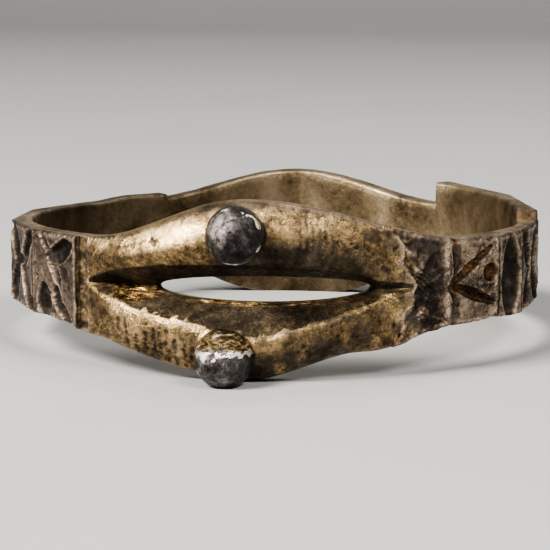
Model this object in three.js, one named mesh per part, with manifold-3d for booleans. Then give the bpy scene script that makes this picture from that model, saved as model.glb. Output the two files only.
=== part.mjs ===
// An old silver finger ring. Its band parts at the front into two arching branches with a slit between them,
// and each branch carries a round pellet. Square carved panels form the shoulders and sides, and the band
// widens into a plain plate at the back.
// Millimetres, +Z up. The ring lies on the plane z = 0, on the worn foot of its lower pellet and the worn
// lower edge of its back plate, and the bezel faces -Y. Angles run round the bore in degrees from the middle
// of the bezel, positive towards +X.
import * as THREE from "three";
import { mergeVertices } from "three/addons/utils/BufferGeometryUtils.js";
import Module from "manifold-3d";

const wasm = await Module();
wasm.setup();

// The band
const boreDiameter = 20.2; // finger size
const wall = 0.9; // thickness of the band
const edgeBevel = 0.12; // worn corners of the band's two edges
const sideRise = 1.95; // upper edge above the band's midline at the ring's sides
const sideDrop = 1.42; // lower edge below the midline there

// The two branches of the bezel
const bezelLeft = -34; // angle where the branches leave the left collar
const bezelRight = 31; // angle where they run under the first right panel
const upperArchRise = 1.62; // how far the upper branch arches above the sides
const upperArchCrown = 1.2; // angle of its highest point
const upperArchLeftSpan = 36.5; // angles from there to its two feet
const upperArchRightSpan = 51;
const lowerApexDrop = 3.22; // lowest point of the lower branch, below the midline
const lowerApex = 1; // angle of that point
const leftHeelDrop = 1.9; // lower edge where the branch meets the left collar
const rightHeelDrop = 2.2; // and where it meets the first right panel
const leftHeel = -30.5; // angles of these two heels
const rightHeel = 25;
const heelFade = 20; // angle past a heel in which the edge runs back to the sides' height
const branchBulge = 0.4; // swelling of the branches' outer faces
const upperBulgeEnd = 0.8; // the upper branch is round: its face has swung back in again at the ridge
const lowerBulgeEnd = 0.66; // the lower one swells out towards its ridge
const upperEdgeRounding = 0.6; // rounded outer corner along the top of the upper branch
const lowerEdgeRounding = 0.34; // and along the bottom of the lower one
const upperRidgeSoftness = 0.42; // share of face and flank that the upper branch's soft shoulder takes up
const lowerRidgeSoftness = 0.14; // the lower ridge is crisper
const upperRidge = 1.25; // groove's upper ridge above the midline, at mid bezel
const lowerRidge = 1.56; // groove's lower ridge below the midline, at its lowest
const lowerRidgeCrown = 3.5; // angle of that point
const grooveCentre = 0.2; // height of the groove's two ends
const grooveEnd = 0.2; // half width of the groove at its ends
const slitLeft = -18.5; // the groove breaks through between these two angles
const slitRight = 28;
const slitHeight = 1.0;
const slitCentre = 0.18; // height of the middle of the slit
const slitLip = 0.28; // thickness of metal left at the slit's edges

// The back plate
const plateLeftEnd = 36; // angles from the middle of the back to the plate's two ends
const plateRightEnd = 38.4;
const plateArchRise = 1.24; // how far its upper edge arches above the sides
const plateArchCrown = -1.5; // angle of its highest point, from the middle of the back
const plateArchSpan = 38;
const plateArchDrop = 1.25; // how far its lower edge arches below the sides
const plateDropCrown = -1;
const plateDropSpan = 26;
const plateWear = 0.25; // metal worn off where the plate touches what the ring lies on

// The panels. Angles are the panels' widths.
const collarAngle = 3.5; // narrow strip between the branches and the first left panel
const collarSink = 0.14; // how far that strip lies below its neighbours
const firstPanelAngle = 17; // the panel next to the collar
const leftPanelCount = 4; // equal panels from there to the back plate
const raisedPanelRise = 0.2; // extra height of the last of them
const lappedPanelAngle = 13.2; // the worn panel that laps over the branches' right ends
const lappedPanelStep = 0.2; // how far it stands proud
const lappedPanelBay = 6; // angle by which its border draws back at the groove
const beakPanelAngle = 15.8; // the panel with two long cuts and a drilled eye
const flutePanelAngle = 11; // the panel with one upright hollow
const rightPanelCount = 3; // equal panels from there to the back plate
const tallPanelCount = 2; // of which the last are taller
const tallPanelRise = 0.4; // extra height of these at their front end
const tallPanelFlare = 0.55; // and the height that they gain towards the back plate
const leafSlimness = 0.48; // a graver cut's width as a share of its length
const leafDepth = 0.34;
const leafClearance = 0.16; // uncut metal at both ends of a cut
const wornLeafShare = 0.68; // what wear has left of the cuts on the lapped panel
const beakInset = 0.35; // from the panel's left border to where its two long cuts meet
const beakUpperRun = 2.24; // how far the upper cut runs across and up from there
const beakUpperRise = 1.36;
const beakLowerRun = 2.5; // and the lower one across and down
const beakLowerDrop = 0.81;
const beakSlimness = 0.17;
const eyeDiameter = 0.72; // the drilled eye
const eyeDepth = 0.3;
const eyeRise = 0.24;
const fluteDepth = 0.42;

// The pellets
const pelletRadius = 1.1;
const pelletProud = 0.35; // how far a pellet's centre lies outside the branch's face
const pelletWear = 0.1; // worn foot of the lower pellet
const upperPelletAngle = -0.3;
const lowerPelletAngle = -2.4;
const solderGap = 0.05; // film of solder between a pellet and its seat

const innerRadius = boreDiameter / 2;
const bodyRadius = innerRadius + wall;

const radians = THREE.MathUtils.degToRad;
const { lerp, clamp, smoothstep } = THREE.MathUtils;

// Share of an arch's height at an angle: 1 at its crown, 0 at its two feet. A low power makes it pointed.
function arch(angle, crown, leftSpan, rightSpan, power) {
  const offset = Math.abs(angle - crown) / (angle < crown ? leftSpan : rightSpan);
  if (offset >= 1) return 0;
  return power ? 1 - offset ** power : Math.cos((offset * Math.PI) / 2) ** 2;
}

// Every angle of the band lies between -180 and 180, so the back plate is measured from its own middle, where
// positive angles lie towards +X.
const fromBack = (angle) => (angle > 0 ? 180 - angle : -180 - angle);

const plateLeft = plateLeftEnd - 180;
const plateRight = 180 - plateRightEnd;

// Panels of the given angles, laid side by side from a starting angle.
function panelRow(start, angles, cuts) {
  let from = start;
  return angles.map((angle, i) => {
    const panel = { from, to: from + angle, cut: cuts[i] ?? "saltire" };
    from = panel.to;
    return panel;
  });
}

const firstPanelStart = bezelLeft - collarAngle - firstPanelAngle;
const sidePanelStart = bezelRight + lappedPanelAngle + beakPanelAngle + flutePanelAngle;
const leftPanelAngle = (firstPanelStart - plateLeft) / leftPanelCount;
const rightPanelAngle = (plateRight - sidePanelStart) / rightPanelCount;
const leftPanels = panelRow(plateLeft, [...Array(leftPanelCount).fill(leftPanelAngle), firstPanelAngle], []);
const frontAngles = [lappedPanelAngle, beakPanelAngle, flutePanelAngle];
const frontPanels = panelRow(bezelRight, frontAngles, ["worn", "beak", "flute"]);
const rightPanels = panelRow(sidePanelStart, Array(rightPanelCount).fill(rightPanelAngle), []);
const panels = [...leftPanels, ...frontPanels, ...rightPanels];
leftPanels[0].raised = true;
rightPanels.slice(-tallPanelCount).forEach((panel) => {
  panel.tall = true;
});
const lappedPanel = frontPanels[0];
const tallStart = Math.min(...panels.filter((panel) => panel.tall).map((panel) => panel.from));

const panelAt = (angle) => panels.find((panel) => angle >= panel.from && angle <= panel.to);

// Upper and lower edges of the band, measured from its midline.
function topEdge(angle) {
  const bezel = upperArchRise * arch(angle, upperArchCrown, upperArchLeftSpan, upperArchRightSpan);
  const plate = plateArchRise * arch(fromBack(angle), plateArchCrown, plateArchSpan, plateArchSpan);
  const panel = panelAt(angle);
  if (panel?.tall) {
    return sideRise + tallPanelRise + (tallPanelFlare * (angle - tallStart)) / (plateRight - tallStart);
  }
  return sideRise + bezel + (panel ? 0 : plate) + (panel?.raised ? raisedPanelRise : 0);
}

function bottomEdge(angle) {
  const heelDrop = angle < lowerApex ? leftHeelDrop : rightHeelDrop;
  const pastHeel = angle < lowerApex ? leftHeel - angle : angle - rightHeel;
  const heel = (heelDrop - sideDrop) * (1 - smoothstep(pastHeel, 0, heelFade));
  const power = angle < lowerApex ? 1.5 : 0;
  const share = arch(angle, lowerApex, lowerApex - leftHeel, rightHeel - lowerApex, power);
  const bezel = (lowerApexDrop - heelDrop) * share;
  const plate = plateArchDrop * arch(fromBack(angle), plateDropCrown, plateDropSpan, plateDropSpan, 2);
  return -(sideDrop + heel + bezel + plate);
}

// The groove between the branches: its two ridges, and the slit where it breaks through, from the midline.
function groove(angle) {
  const middle = (bezelLeft + bezelRight) / 2;
  const half = (bezelRight - bezelLeft) / 2;
  const slitMiddle = (slitLeft + slitRight) / 2;
  const slitHalf = (slitRight - slitLeft) / 2;
  const whole = arch(angle, middle, half, half, 3);
  const down = arch(angle, lowerRidgeCrown, lowerRidgeCrown - bezelLeft, bezelRight - lowerRidgeCrown, 1.15);
  const open = angle > slitLeft && angle < slitRight;
  const centre = lerp(grooveCentre, slitCentre, whole);
  return {
    upper: centre + grooveEnd + (upperRidge - slitCentre - grooveEnd) * whole,
    lower: centre - grooveEnd - (lowerRidge + slitCentre - grooveEnd) * down,
    depth: (wall - slitLip) * smoothstep(whole, 0, 0.5),
    centre,
    open,
    slit: open ? (slitHeight / 2) * Math.sqrt(arch(angle, slitMiddle, slitHalf, slitHalf, 2)) : 0,
  };
}

// The lower pellet's foot and the back plate's lower edge both touch z = 0, so the midline rises to the front.
const lowerSeat = groove(lowerPelletAngle);
const lowerPelletOffset = (lowerSeat.lower + bottomEdge(lowerPelletAngle)) / 2;
const upperPelletOffset = (groove(upperPelletAngle).upper + topEdge(upperPelletAngle)) / 2;
const frontRest = pelletRadius - pelletWear - lowerPelletOffset;
const backRest = -bottomEdge(180) - plateWear;
const midlineLift = (frontRest - backRest) / (1 + Math.cos(radians(lowerPelletAngle)));
const midline = (angle) => backRest + midlineLift * (1 + Math.cos(radians(angle)));

// Outer radius of the band's face: flat on a panel, round on the branches and the back plate.
function faceRadius(angle) {
  const panel = panelAt(angle);
  if (!panel) {
    const inCollar = angle > bezelLeft - collarAngle && angle < bezelLeft;
    return bodyRadius - (inCollar ? collarSink : 0);
  }
  const middle = radians((panel.from + panel.to) / 2);
  const half = radians((panel.to - panel.from) / 2);
  const flat = (bodyRadius * Math.cos(half)) / Math.cos(radians(angle) - middle);
  return flat + (panel.cut === "worn" ? lappedPanelStep : 0);
}

// Where the points of a section's outer side lie: 0 at the rounded edge, 1 at the ridge of the groove, 2 at the
// foot of the groove's flank.
const outlineShares = [0, 0.25, 0.48, 0.68, 0.86, 1, 1.14, 1.45, 2];

// One half of the band's section at an angle, from the bore round its edge to the middle of the outer face.
// side is 1 for the upper half and -1 for the lower one. A point is [radius, height].
function halfSection(angle, side) {
  const mid = midline(angle);
  const channel = groove(angle);
  const edge = side > 0 ? topEdge(angle) : bottomEdge(angle);
  const ridge = side > 0 ? channel.upper : channel.lower;
  const radius = faceRadius(angle);
  const half = (bezelRight - bezelLeft) / 2;
  const branch = arch(angle, (bezelLeft + bezelRight) / 2, half, half, 4);
  const corner = lerp(edgeBevel, side > 0 ? upperEdgeRounding : lowerEdgeRounding, branch);
  const bulgeEnd = side > 0 ? upperBulgeEnd : lowerBulgeEnd;
  const soft = side > 0 ? upperRidgeSoftness : lowerRidgeSoftness;
  const lipRadius = radius - channel.depth;
  const lip = channel.centre + side * channel.slit;
  const facePoint = (share) => [
    radius + branchBulge * branch * Math.sin(Math.PI * lerp(0.1, bulgeEnd, share)),
    lerp(edge - side * corner, ridge, share),
  ];
  const crest = facePoint(1);
  const flankPoint = (share) => [lerp(crest[0], lipRadius, share), lerp(ridge, lip, share)];
  const shoulderPoint = (turn) => {
    const [from, to] = [facePoint(1 - soft), flankPoint(soft)];
    return [0, 1].map((k) => lerp(lerp(from[k], crest[k], turn), lerp(crest[k], to[k], turn), turn));
  };
  const points = [
    [innerRadius, channel.centre + side * channel.slit],
    [innerRadius, (channel.centre + edge) / 2],
    [innerRadius, edge - side * edgeBevel],
    [innerRadius + edgeBevel, edge],
    [radius - corner, edge],
  ];
  const turned = corner * Math.SQRT1_2;
  points.push([lerp(radius - corner, facePoint(0)[0], Math.SQRT1_2), edge - side * (corner - turned)]);
  for (const share of outlineShares) {
    if (share < 1 - soft) points.push(facePoint(share));
    else if (share > 1 + soft) points.push(flankPoint(share - 1));
    else points.push(shoulderPoint((share - 1 + soft) / (2 * soft)));
  }
  return points.map(([r, height]) => [r, Math.max(0, mid + height)]);
}

// Angles of the sections, close together where the outline turns, and a hair either side of each panel's edge.
function sectionAngles() {
  const hair = 0.25;
  const angles = [];
  const spread = (from, to, count) => {
    for (let i = 0; i <= count; i++) angles.push(lerp(from, to, i / count));
  };
  spread(bezelLeft + hair, slitLeft, 5);
  spread(slitLeft, slitRight, 18);
  spread(slitRight, bezelRight - hair, 1);
  spread(bezelLeft - collarAngle + hair, bezelLeft - hair, 1);
  for (const panel of panels) spread(panel.from + hair, panel.to - hair, 3);
  spread(plateRight + hair, 180, 9);
  spread(-180, plateLeft - hair, 9);
  return [...new Set(angles.map((angle) => (angle === -180 ? 180 : angle)))].sort((a, b) => a - b);
}

// The first right panel's border over the branches draws back in a bay, deepest at the groove.
function borderShift(angle, height) {
  if (angle <= slitRight || angle >= lappedPanel.to) return 0;
  const past = angle > bezelRight ? lappedPanel.to - bezelRight : bezelRight - slitRight;
  const near = 1 - Math.abs(angle - bezelRight) / past;
  const offset = height - midline(angle) - grooveCentre;
  const reach = (offset > 0 ? topEdge(angle) : bottomEdge(angle)) - grooveCentre;
  return lappedPanelBay * near * (1 - Math.min(1, offset / reach) ** 1.3);
}

// Joins the half sections into one closed surface. Where the groove breaks through, the two halves part.
function bandSurface() {
  const positions = [];
  const index = [];
  const addPoint = (column, [r, height]) => {
    const angle = column + borderShift(column, height);
    positions.push(r * Math.sin(radians(angle)), -r * Math.cos(radians(angle)), height);
    return positions.length / 3 - 1;
  };
  const columns = sectionAngles().map((angle) => {
    const lower = halfSection(angle, -1).map((point) => addPoint(angle, point));
    const { open } = groove(angle);
    const upperPoints = halfSection(angle, 1);
    const last = upperPoints.length - 1;
    const upper = upperPoints.map((point, i) => {
      if (!open && i === 0) return lower[0];
      if (!open && i === last) return lower[last];
      return addPoint(angle, point);
    });
    return { lower, upper, open };
  });
  const addQuad = (a, b, c, d) => {
    for (const triangle of [[a, b, c], [a, c, d]]) {
      if (new Set(triangle).size === 3) index.push(...triangle);
    }
  };
  columns.forEach((column, i) => {
    const next = columns[(i + 1) % columns.length];
    const last = column.lower.length - 1;
    for (let j = 0; j < last; j++) {
      addQuad(column.lower[j], next.lower[j], next.lower[j + 1], column.lower[j + 1]);
      addQuad(column.upper[j + 1], next.upper[j + 1], next.upper[j], column.upper[j]);
    }
    if (column.open || next.open) {
      addQuad(column.lower[last], next.lower[last], next.lower[0], column.lower[0]);
      addQuad(column.upper[0], next.upper[0], next.upper[last], column.upper[last]);
    }
  });
  const geometry = new THREE.BufferGeometry();
  geometry.setAttribute("position", new THREE.Float32BufferAttribute(positions, 3));
  geometry.setIndex(index);
  return geometry;
}

function toSolid(geometry) {
  const bare = geometry.clone();
  bare.deleteAttribute("normal");
  bare.deleteAttribute("uv");
  const merged = mergeVertices(bare, 1e-4);
  return new wasm.Manifold(
    new wasm.Mesh({
      numProp: 3,
      vertProperties: new Float32Array(merged.attributes.position.array),
      triVerts: new Uint32Array(merged.index.array),
    }),
  );
}

function toGeometry(solid) {
  const mesh = solid.getMesh();
  const geometry = new THREE.BufferGeometry();
  const positions = new Float32Array(mesh.numVert * 3);
  for (let i = 0; i < mesh.numVert; i++) {
    positions.set(mesh.vertProperties.subarray(i * mesh.numProp, i * mesh.numProp + 3), i * 3);
  }
  geometry.setAttribute("position", new THREE.BufferAttribute(positions, 3));
  geometry.setIndex(new THREE.BufferAttribute(new Uint32Array(mesh.triVerts), 1));
  geometry.computeVertexNormals();
  return geometry;
}

// Places a cutter on the band's face: its X axis runs round the band, Z up, and -Y points out of the face.
function onFace(geometry, angle, height, radius, turn) {
  const place = new THREE.Matrix4().makeTranslation(0, -radius, midline(angle) + height);
  place.premultiply(new THREE.Matrix4().makeRotationZ(radians(angle)));
  place.multiply(new THREE.Matrix4().makeRotationY(-turn));
  return geometry.clone().applyMatrix4(place);
}

// A graver cut, widest in the middle and pointed at both ends, made by turning an arc about its chord.
function leafCutter(length, width, depth) {
  const steps = 5;
  const profile = [];
  for (let i = 0; i <= steps; i++) {
    const along = lerp(-1, 1, i / steps);
    profile.push(new THREE.Vector2((width / 2) * (1 - along ** 2), (along * length) / 2));
  }
  const spindle = new THREE.LatheGeometry(profile, 8);
  return spindle.rotateZ(-Math.PI / 2).scale(1, depth / (width / 2), 1);
}

const middleOf = (panel) => (panel.from + panel.to) / 2;
const widthOf = (panel) => bodyRadius * radians(panel.to - panel.from);
const angleAlong = (distance) => THREE.MathUtils.radToDeg(distance / bodyRadius);

// Four leaves crossing a panel from corner to corner.
function saltireCuts(panel, share) {
  const middle = middleOf(panel);
  const reachX = widthOf(panel) / 4;
  const reachZ = (topEdge(middle) - bottomEdge(middle)) / 4;
  const centre = (topEdge(middle) + bottomEdge(middle)) / 2;
  const length = (2 * Math.hypot(reachX, reachZ) - 2 * leafClearance) * share;
  const leaf = leafCutter(length, length * leafSlimness, leafDepth * share);
  const cuts = [];
  for (const across of [-1, 1]) {
    for (const up of [-1, 1]) {
      const angle = middle + angleAlong(across * reachX * share);
      const turn = Math.atan2(up * reachZ, across * reachX);
      cuts.push(onFace(leaf, angle, centre + up * reachZ * share, faceRadius(angle), turn));
    }
  }
  return cuts;
}

// Two long leaves opening like a beak from the panel's left edge, with a drilled eye between them.
function beakCuts(panel) {
  const cuts = [];
  for (const [run, rise] of [[beakUpperRun, beakUpperRise], [beakLowerRun, -beakLowerDrop]]) {
    const angle = panel.from + angleAlong(beakInset + run / 2);
    const length = Math.hypot(run, rise);
    const leaf = leafCutter(length, length * beakSlimness, leafDepth * 0.8);
    cuts.push(onFace(leaf, angle, grooveCentre + rise / 2, faceRadius(angle), Math.atan2(rise, run)));
  }
  const eyeAngle = lerp(panel.from, panel.to, 0.76);
  const eye = new THREE.CylinderGeometry(eyeDiameter / 2, eyeDiameter / 2, 2 * eyeDepth, 12);
  cuts.push(onFace(eye, eyeAngle, grooveCentre + eyeRise, faceRadius(eyeAngle), 0));
  return cuts;
}

// One upright hollow over the panel's whole height.
function fluteCuts(panel) {
  const middle = middleOf(panel);
  const height = (topEdge(middle) - bottomEdge(middle)) * 0.92;
  const flute = leafCutter(height, widthOf(panel) * 0.8, fluteDepth);
  return [onFace(flute, middle, (topEdge(middle) + bottomEdge(middle)) / 2, faceRadius(middle), Math.PI / 2)];
}

function carvingCuts(panel) {
  if (panel.cut === "beak") return beakCuts(panel);
  if (panel.cut === "flute") return fluteCuts(panel);
  return saltireCuts(panel, panel.cut === "worn" ? wornLeafShare : 1);
}

function pelletPlace(angle, offset) {
  const branchFace = faceRadius(angle) + branchBulge;
  const reach = branchFace + pelletProud;
  return new THREE.Vector3(
    reach * Math.sin(radians(angle)),
    -reach * Math.cos(radians(angle)),
    midline(angle) + offset,
  );
}

// A ball turned about the vertical, cut off flat below by its wear.
function pelletGeometry(wear) {
  const rings = 11;
  const footAngle = Math.acos(clamp(1 - wear / pelletRadius, -1, 1));
  const profile = wear > 0 ? [new THREE.Vector2(0, wear - pelletRadius)] : [];
  for (let i = 0; i <= rings; i++) {
    const turn = lerp(footAngle, Math.PI, i / rings);
    profile.push(new THREE.Vector2(pelletRadius * Math.sin(turn), -pelletRadius * Math.cos(turn)));
  }
  if (wear === 0) profile[0].x = 0;
  profile.at(-1).x = 0;
  return new THREE.LatheGeometry(profile, 20).rotateX(Math.PI / 2);
}

const agedSilver = new THREE.MeshStandardMaterial({ color: 0x9a8466, roughness: 0.42, metalness: 1 });
const greySilver = new THREE.MeshStandardMaterial({ color: 0x6c6764, roughness: 0.38, metalness: 1 });

function addPart(group, name, geometry, material) {
  const mesh = new THREE.Mesh(geometry, material);
  mesh.name = name;
  group.add(mesh);
  return mesh;
}

const ring = new THREE.Group();
ring.name = "silver_ring";

const pellets = [
  { name: "upper_pellet", place: pelletPlace(upperPelletAngle, upperPelletOffset), wear: 0 },
  { name: "lower_pellet", place: pelletPlace(lowerPelletAngle, lowerPelletOffset), wear: pelletWear },
];

let band = toSolid(bandSurface());
for (const panel of panels) {
  for (const cut of carvingCuts(panel)) band = band.subtract(toSolid(cut));
}
for (const { place } of pellets) {
  const seat = new THREE.SphereGeometry(pelletRadius + solderGap, 20, 13).translate(...place);
  band = band.subtract(toSolid(seat));
}
addPart(ring, "band", toGeometry(band), agedSilver);

for (const { name, place, wear } of pellets) {
  addPart(ring, name, pelletGeometry(wear), greySilver).position.copy(place);
}

// The origin is the middle of the ring's outline seen from above, on the plane that it lies on.
const middle = new THREE.Box3().setFromObject(ring).getCenter(new THREE.Vector3());
for (const mesh of ring.children) mesh.position.sub(new THREE.Vector3(middle.x, middle.y, 0));

export default ring;
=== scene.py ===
import math

import bpy
import numpy as np
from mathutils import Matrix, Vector


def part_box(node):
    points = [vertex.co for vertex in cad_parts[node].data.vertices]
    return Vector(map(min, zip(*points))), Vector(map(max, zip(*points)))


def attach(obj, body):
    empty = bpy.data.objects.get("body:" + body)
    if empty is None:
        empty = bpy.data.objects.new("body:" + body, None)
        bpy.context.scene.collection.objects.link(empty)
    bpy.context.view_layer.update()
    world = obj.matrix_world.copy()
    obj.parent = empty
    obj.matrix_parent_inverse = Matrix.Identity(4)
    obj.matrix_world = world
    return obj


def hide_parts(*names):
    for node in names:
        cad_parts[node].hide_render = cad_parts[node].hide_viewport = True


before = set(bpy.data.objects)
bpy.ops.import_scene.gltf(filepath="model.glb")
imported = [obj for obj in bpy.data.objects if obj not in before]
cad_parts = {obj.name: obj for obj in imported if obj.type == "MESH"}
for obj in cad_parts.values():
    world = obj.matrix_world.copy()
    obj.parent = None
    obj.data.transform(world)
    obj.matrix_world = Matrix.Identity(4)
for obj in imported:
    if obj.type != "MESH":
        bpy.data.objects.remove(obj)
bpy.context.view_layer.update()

print("frame loaded:", sorted(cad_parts))

mm = 0.001


def ease(x, start, end):
    t = np.clip((x - start) / (end - start), 0, 1)
    return t * t * (3 - 2 * t)


def mix(a, b, t):
    return a + (b - a) * t


def bell(x, width, centre=0):
    return np.exp(-((x - centre) / width) ** 2)


def arch(angle, crown, left, right, power=0):
    # 1 at the crown, 0 at both feet; a low power makes it pointed
    offset = np.minimum(np.abs(angle - crown) / np.where(angle < crown, left, right), 1)
    return 1 - offset ** power if power else np.cos(offset * math.pi / 2) ** 2


latticeShift = 37.1  # keeps the lattice's planes off the ring's own


def latticeNoise(points, size, seed):
    # smooth noise from -1 to 1 at points in millimetres, the same on every run
    p = np.asarray(points, float) / size + latticeShift
    cell = np.floor(p).astype(np.int64)
    f = p - cell
    f = f * f * (3 - 2 * f)
    total = np.zeros(p.shape[:-1])
    for corner in range(8):
        bits = np.array([corner & 1, corner >> 1 & 1, corner >> 2 & 1])
        x, y, z = np.moveaxis(cell + bits, -1, 0)
        n = (x * 73856093) ^ (y * 19349663) ^ (z * 83492791) ^ (seed * 2654435)
        n = (n ^ (n >> 13)) * 1274126177 & 0x7FFFFFFF
        n = (n ^ (n >> 16)) & 0xFFFF
        weight = np.prod(np.where(bits, f, 1 - f), axis=-1)
        total += weight * (n / 32767.5 - 1)
    return total


def layeredNoise(points, size, seed, layers=3):
    total = 0
    for k in range(layers):
        total = total + latticeNoise(points, size / 2 ** k, seed + 11 * k) / 2 ** k
    return total / 1.6


# lengths in millimetres, angles in degrees from the middle of the bezel, positive to the right
bandValues = {
    "boreDiameter": 20.2,
    "wall": 0.9,
    "edgeBevel": 0.12,
    "sideRise": 1.95,
    "sideDrop": 1.42,
    "bezel": (-34, 31),  # angles of the branches' two ends
    "upperArch": (1.62, 1.2, 36.5, 51),  # rise, angle of the crown, angles to its two feet
    "lowerApex": (3.22, 1),  # drop, angle
    "leftHeel": (1.9, -30.5),
    "rightHeel": (2.2, 25),
    "heelFade": 20,
    "branchBulge": 0.4,
    # edge rounding, end of the swelling's half wave, softness of the ridge
    "upperBranch": (0.6, 0.8, 0.42),
    "lowerBranch": (0.34, 0.66, 0.14),
    "bulgeStart": 0.1,  # where the swelling's half wave starts, at the rounded edge
    "upperRidge": 1.25,
    "lowerRidge": (1.56, 3.5),
    "grooveCentre": 0.2,
    "grooveEnd": 0.2,
    "slit": (-18.5, 28),
    "slitHeight": 1.0,
    "slitCentre": 0.18,
    "slitLip": 0.28,
    "plateEnds": (36, 38.4),
    "plateArch": (1.24, -1.5, 38),
    "plateDrop": (1.25, -1, 26),
    "plateWear": 0.25,
    "collarAngle": 3.5,
    "collarSink": 0.14,
    "firstPanelAngle": 17,
    "leftPanelCount": 4,
    "raisedPanelRise": 0.2,
    "raisedPanelSlope": 0.6,  # share of the raised panel over which its top slopes up
    "lappedPanelAngle": 13.2,
    "lappedPanelStep": 0.2,
    "lappedPanelBay": 6,
    "beakPanelAngle": 15.8,
    "flutePanelAngle": 11,
    "rightPanelCount": 3,
    "tallPanelCount": 2,
    "tallPanelRise": 0.4,
    "tallPanelFlare": 0.55,
    "leafDepth": 0.38,
    "chipDepth": 0.12,  # deepest chips in the panels' edges
    "pitCount": 620,
    "raggedBorder": 2.6,  # angle by which the lapped panel's left border wanders
    "seed": 7,
}
b = bandValues
bore = b["boreDiameter"] / 2
face = bore + b["wall"]

pelletValues = {
    "radius": 1.1,
    "proud": 0.35,
    "angles": (-0.3, -2.4),
    "footWears": (-1.0, 0.1),  # height of the worn foot; the upper pellet has none
    "lipHeight": 0.045,  # of the band's metal round the seat
    "dentDepth": 0.07,
    "hoodHeights": (9.0, 0.46),  # where the golden hood ends; out of reach on the upper pellet
    "hoodThickness": 0.05,
    # the side on which the pellets' painted sheen lies: towards the front, left and up
    "paintedSheenSide": (-0.5, -0.75, 0.45),
    "seeds": (3.0, 8.0),
    "subdivisions": 6,
}
pellet = pelletValues


def fromBack(angle):
    return np.where(angle > 0, 180 - angle, -180 - angle)


def panelRow(start, widths, cuts):
    row = []
    for width, cut in zip(widths, cuts):
        row.append({"from": start, "to": start + width, "cut": cut, "raised": False})
        start += width
    return row


def saltireRow(start, end, count):
    return panelRow(start, [(end - start) / count] * count, ["saltire"] * count)


plateLeft = b["plateEnds"][0] - 180
plateRight = 180 - b["plateEnds"][1]
bezelLeft, bezelRight = b["bezel"]
slitLeft, slitRight = b["slit"]
collarLeft = bezelLeft - b["collarAngle"]
firstStart = collarLeft - b["firstPanelAngle"]
frontWidths = [b["lappedPanelAngle"], b["beakPanelAngle"], b["flutePanelAngle"]]
sideStart = bezelRight + sum(frontWidths)
leftPanels = saltireRow(plateLeft, firstStart, b["leftPanelCount"])
leftPanels += panelRow(firstStart, [b["firstPanelAngle"]], ["first"])
rightPanels = panelRow(bezelRight, frontWidths, ["worn", "beak", "flute"])
rightPanels += saltireRow(sideStart, plateRight, b["rightPanelCount"])
leftPanels[0]["raised"] = True
panels = leftPanels + rightPanels
tallStart = rightPanels[-b["tallPanelCount"]]["from"]
lapped = rightPanels[0]


def within(angle, panel):
    return (angle >= panel["from"]) & (angle <= panel["to"])


def topEdge(angle):
    rise, crown, left, right = b["upperArch"]
    plateRise, plateCrown, plateSpan = b["plateArch"]
    plate = plateRise * arch(fromBack(angle), plateCrown, plateSpan, plateSpan)
    for panel in panels:
        slope = ease(panel["to"] - angle, 0, b["raisedPanelSlope"] * (panel["to"] - panel["from"]))
        step = b["raisedPanelRise"] * slope if panel["raised"] else 0
        plate = np.where(within(angle, panel), step, plate)
    edge = b["sideRise"] + rise * arch(angle, crown, left, right) + plate
    flare = b["tallPanelFlare"] * (angle - tallStart) / (plateRight - tallStart)
    tall = (angle >= tallStart) & (angle <= plateRight)
    return np.where(tall, b["sideRise"] + b["tallPanelRise"] + flare, edge)


def bottomEdge(angle):
    drop, apex = b["lowerApex"]
    left = angle < apex
    heelDrop = np.where(left, b["leftHeel"][0], b["rightHeel"][0])
    past = np.where(left, b["leftHeel"][1] - angle, angle - b["rightHeel"][1])
    heel = (heelDrop - b["sideDrop"]) * (1 - ease(past, 0, b["heelFade"]))
    spans = (apex - b["leftHeel"][1], b["rightHeel"][1] - apex)
    share = np.where(left, arch(angle, apex, *spans, 1.5), arch(angle, apex, *spans))
    plateDrop, plateCrown, plateSpan = b["plateDrop"]
    plate = plateDrop * arch(fromBack(angle), plateCrown, plateSpan, plateSpan, 2)
    return -(b["sideDrop"] + heel + (drop - heelDrop) * share + plate)


def groove(angle):
    middle, half = (bezelLeft + bezelRight) / 2, (bezelRight - bezelLeft) / 2
    slitMiddle, slitHalf = (slitLeft + slitRight) / 2, (slitRight - slitLeft) / 2
    ridge, crown = b["lowerRidge"]
    whole = arch(angle, middle, half, half, 3)
    down = arch(angle, crown, crown - bezelLeft, bezelRight - crown, 1.15)
    isOpen = (angle > slitLeft + 1e-6) & (angle < slitRight - 1e-6)
    opening = b["slitHeight"] / 2 * np.sqrt(arch(angle, slitMiddle, slitHalf, slitHalf, 2))
    centre = mix(b["grooveCentre"], b["slitCentre"], whole)
    end = b["grooveEnd"]
    return {
        "upper": centre + end + (b["upperRidge"] - b["slitCentre"] - end) * whole,
        "lower": centre - end - (ridge + b["slitCentre"] - end) * down,
        "depth": (b["wall"] - b["slitLip"]) * ease(whole, 0, 0.5),
        "centre": centre,
        "open": isOpen,
        "slit": np.where(isOpen, opening, 0),
        "branch": arch(angle, middle, half, half, 4),
    }


def faceRadius(angle):
    inCollar = (angle > collarLeft) & (angle < bezelLeft)
    radius = face - np.where(inCollar, b["collarSink"], 0)
    for panel in panels:
        middle = math.radians((panel["from"] + panel["to"]) / 2)
        half = math.radians((panel["to"] - panel["from"]) / 2)
        flat = face * math.cos(half) / np.cos(np.radians(angle) - middle)
        step = b["lappedPanelStep"] if panel is lapped else 0
        radius = np.where(within(angle, panel), flat + step, radius)
    return radius


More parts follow.
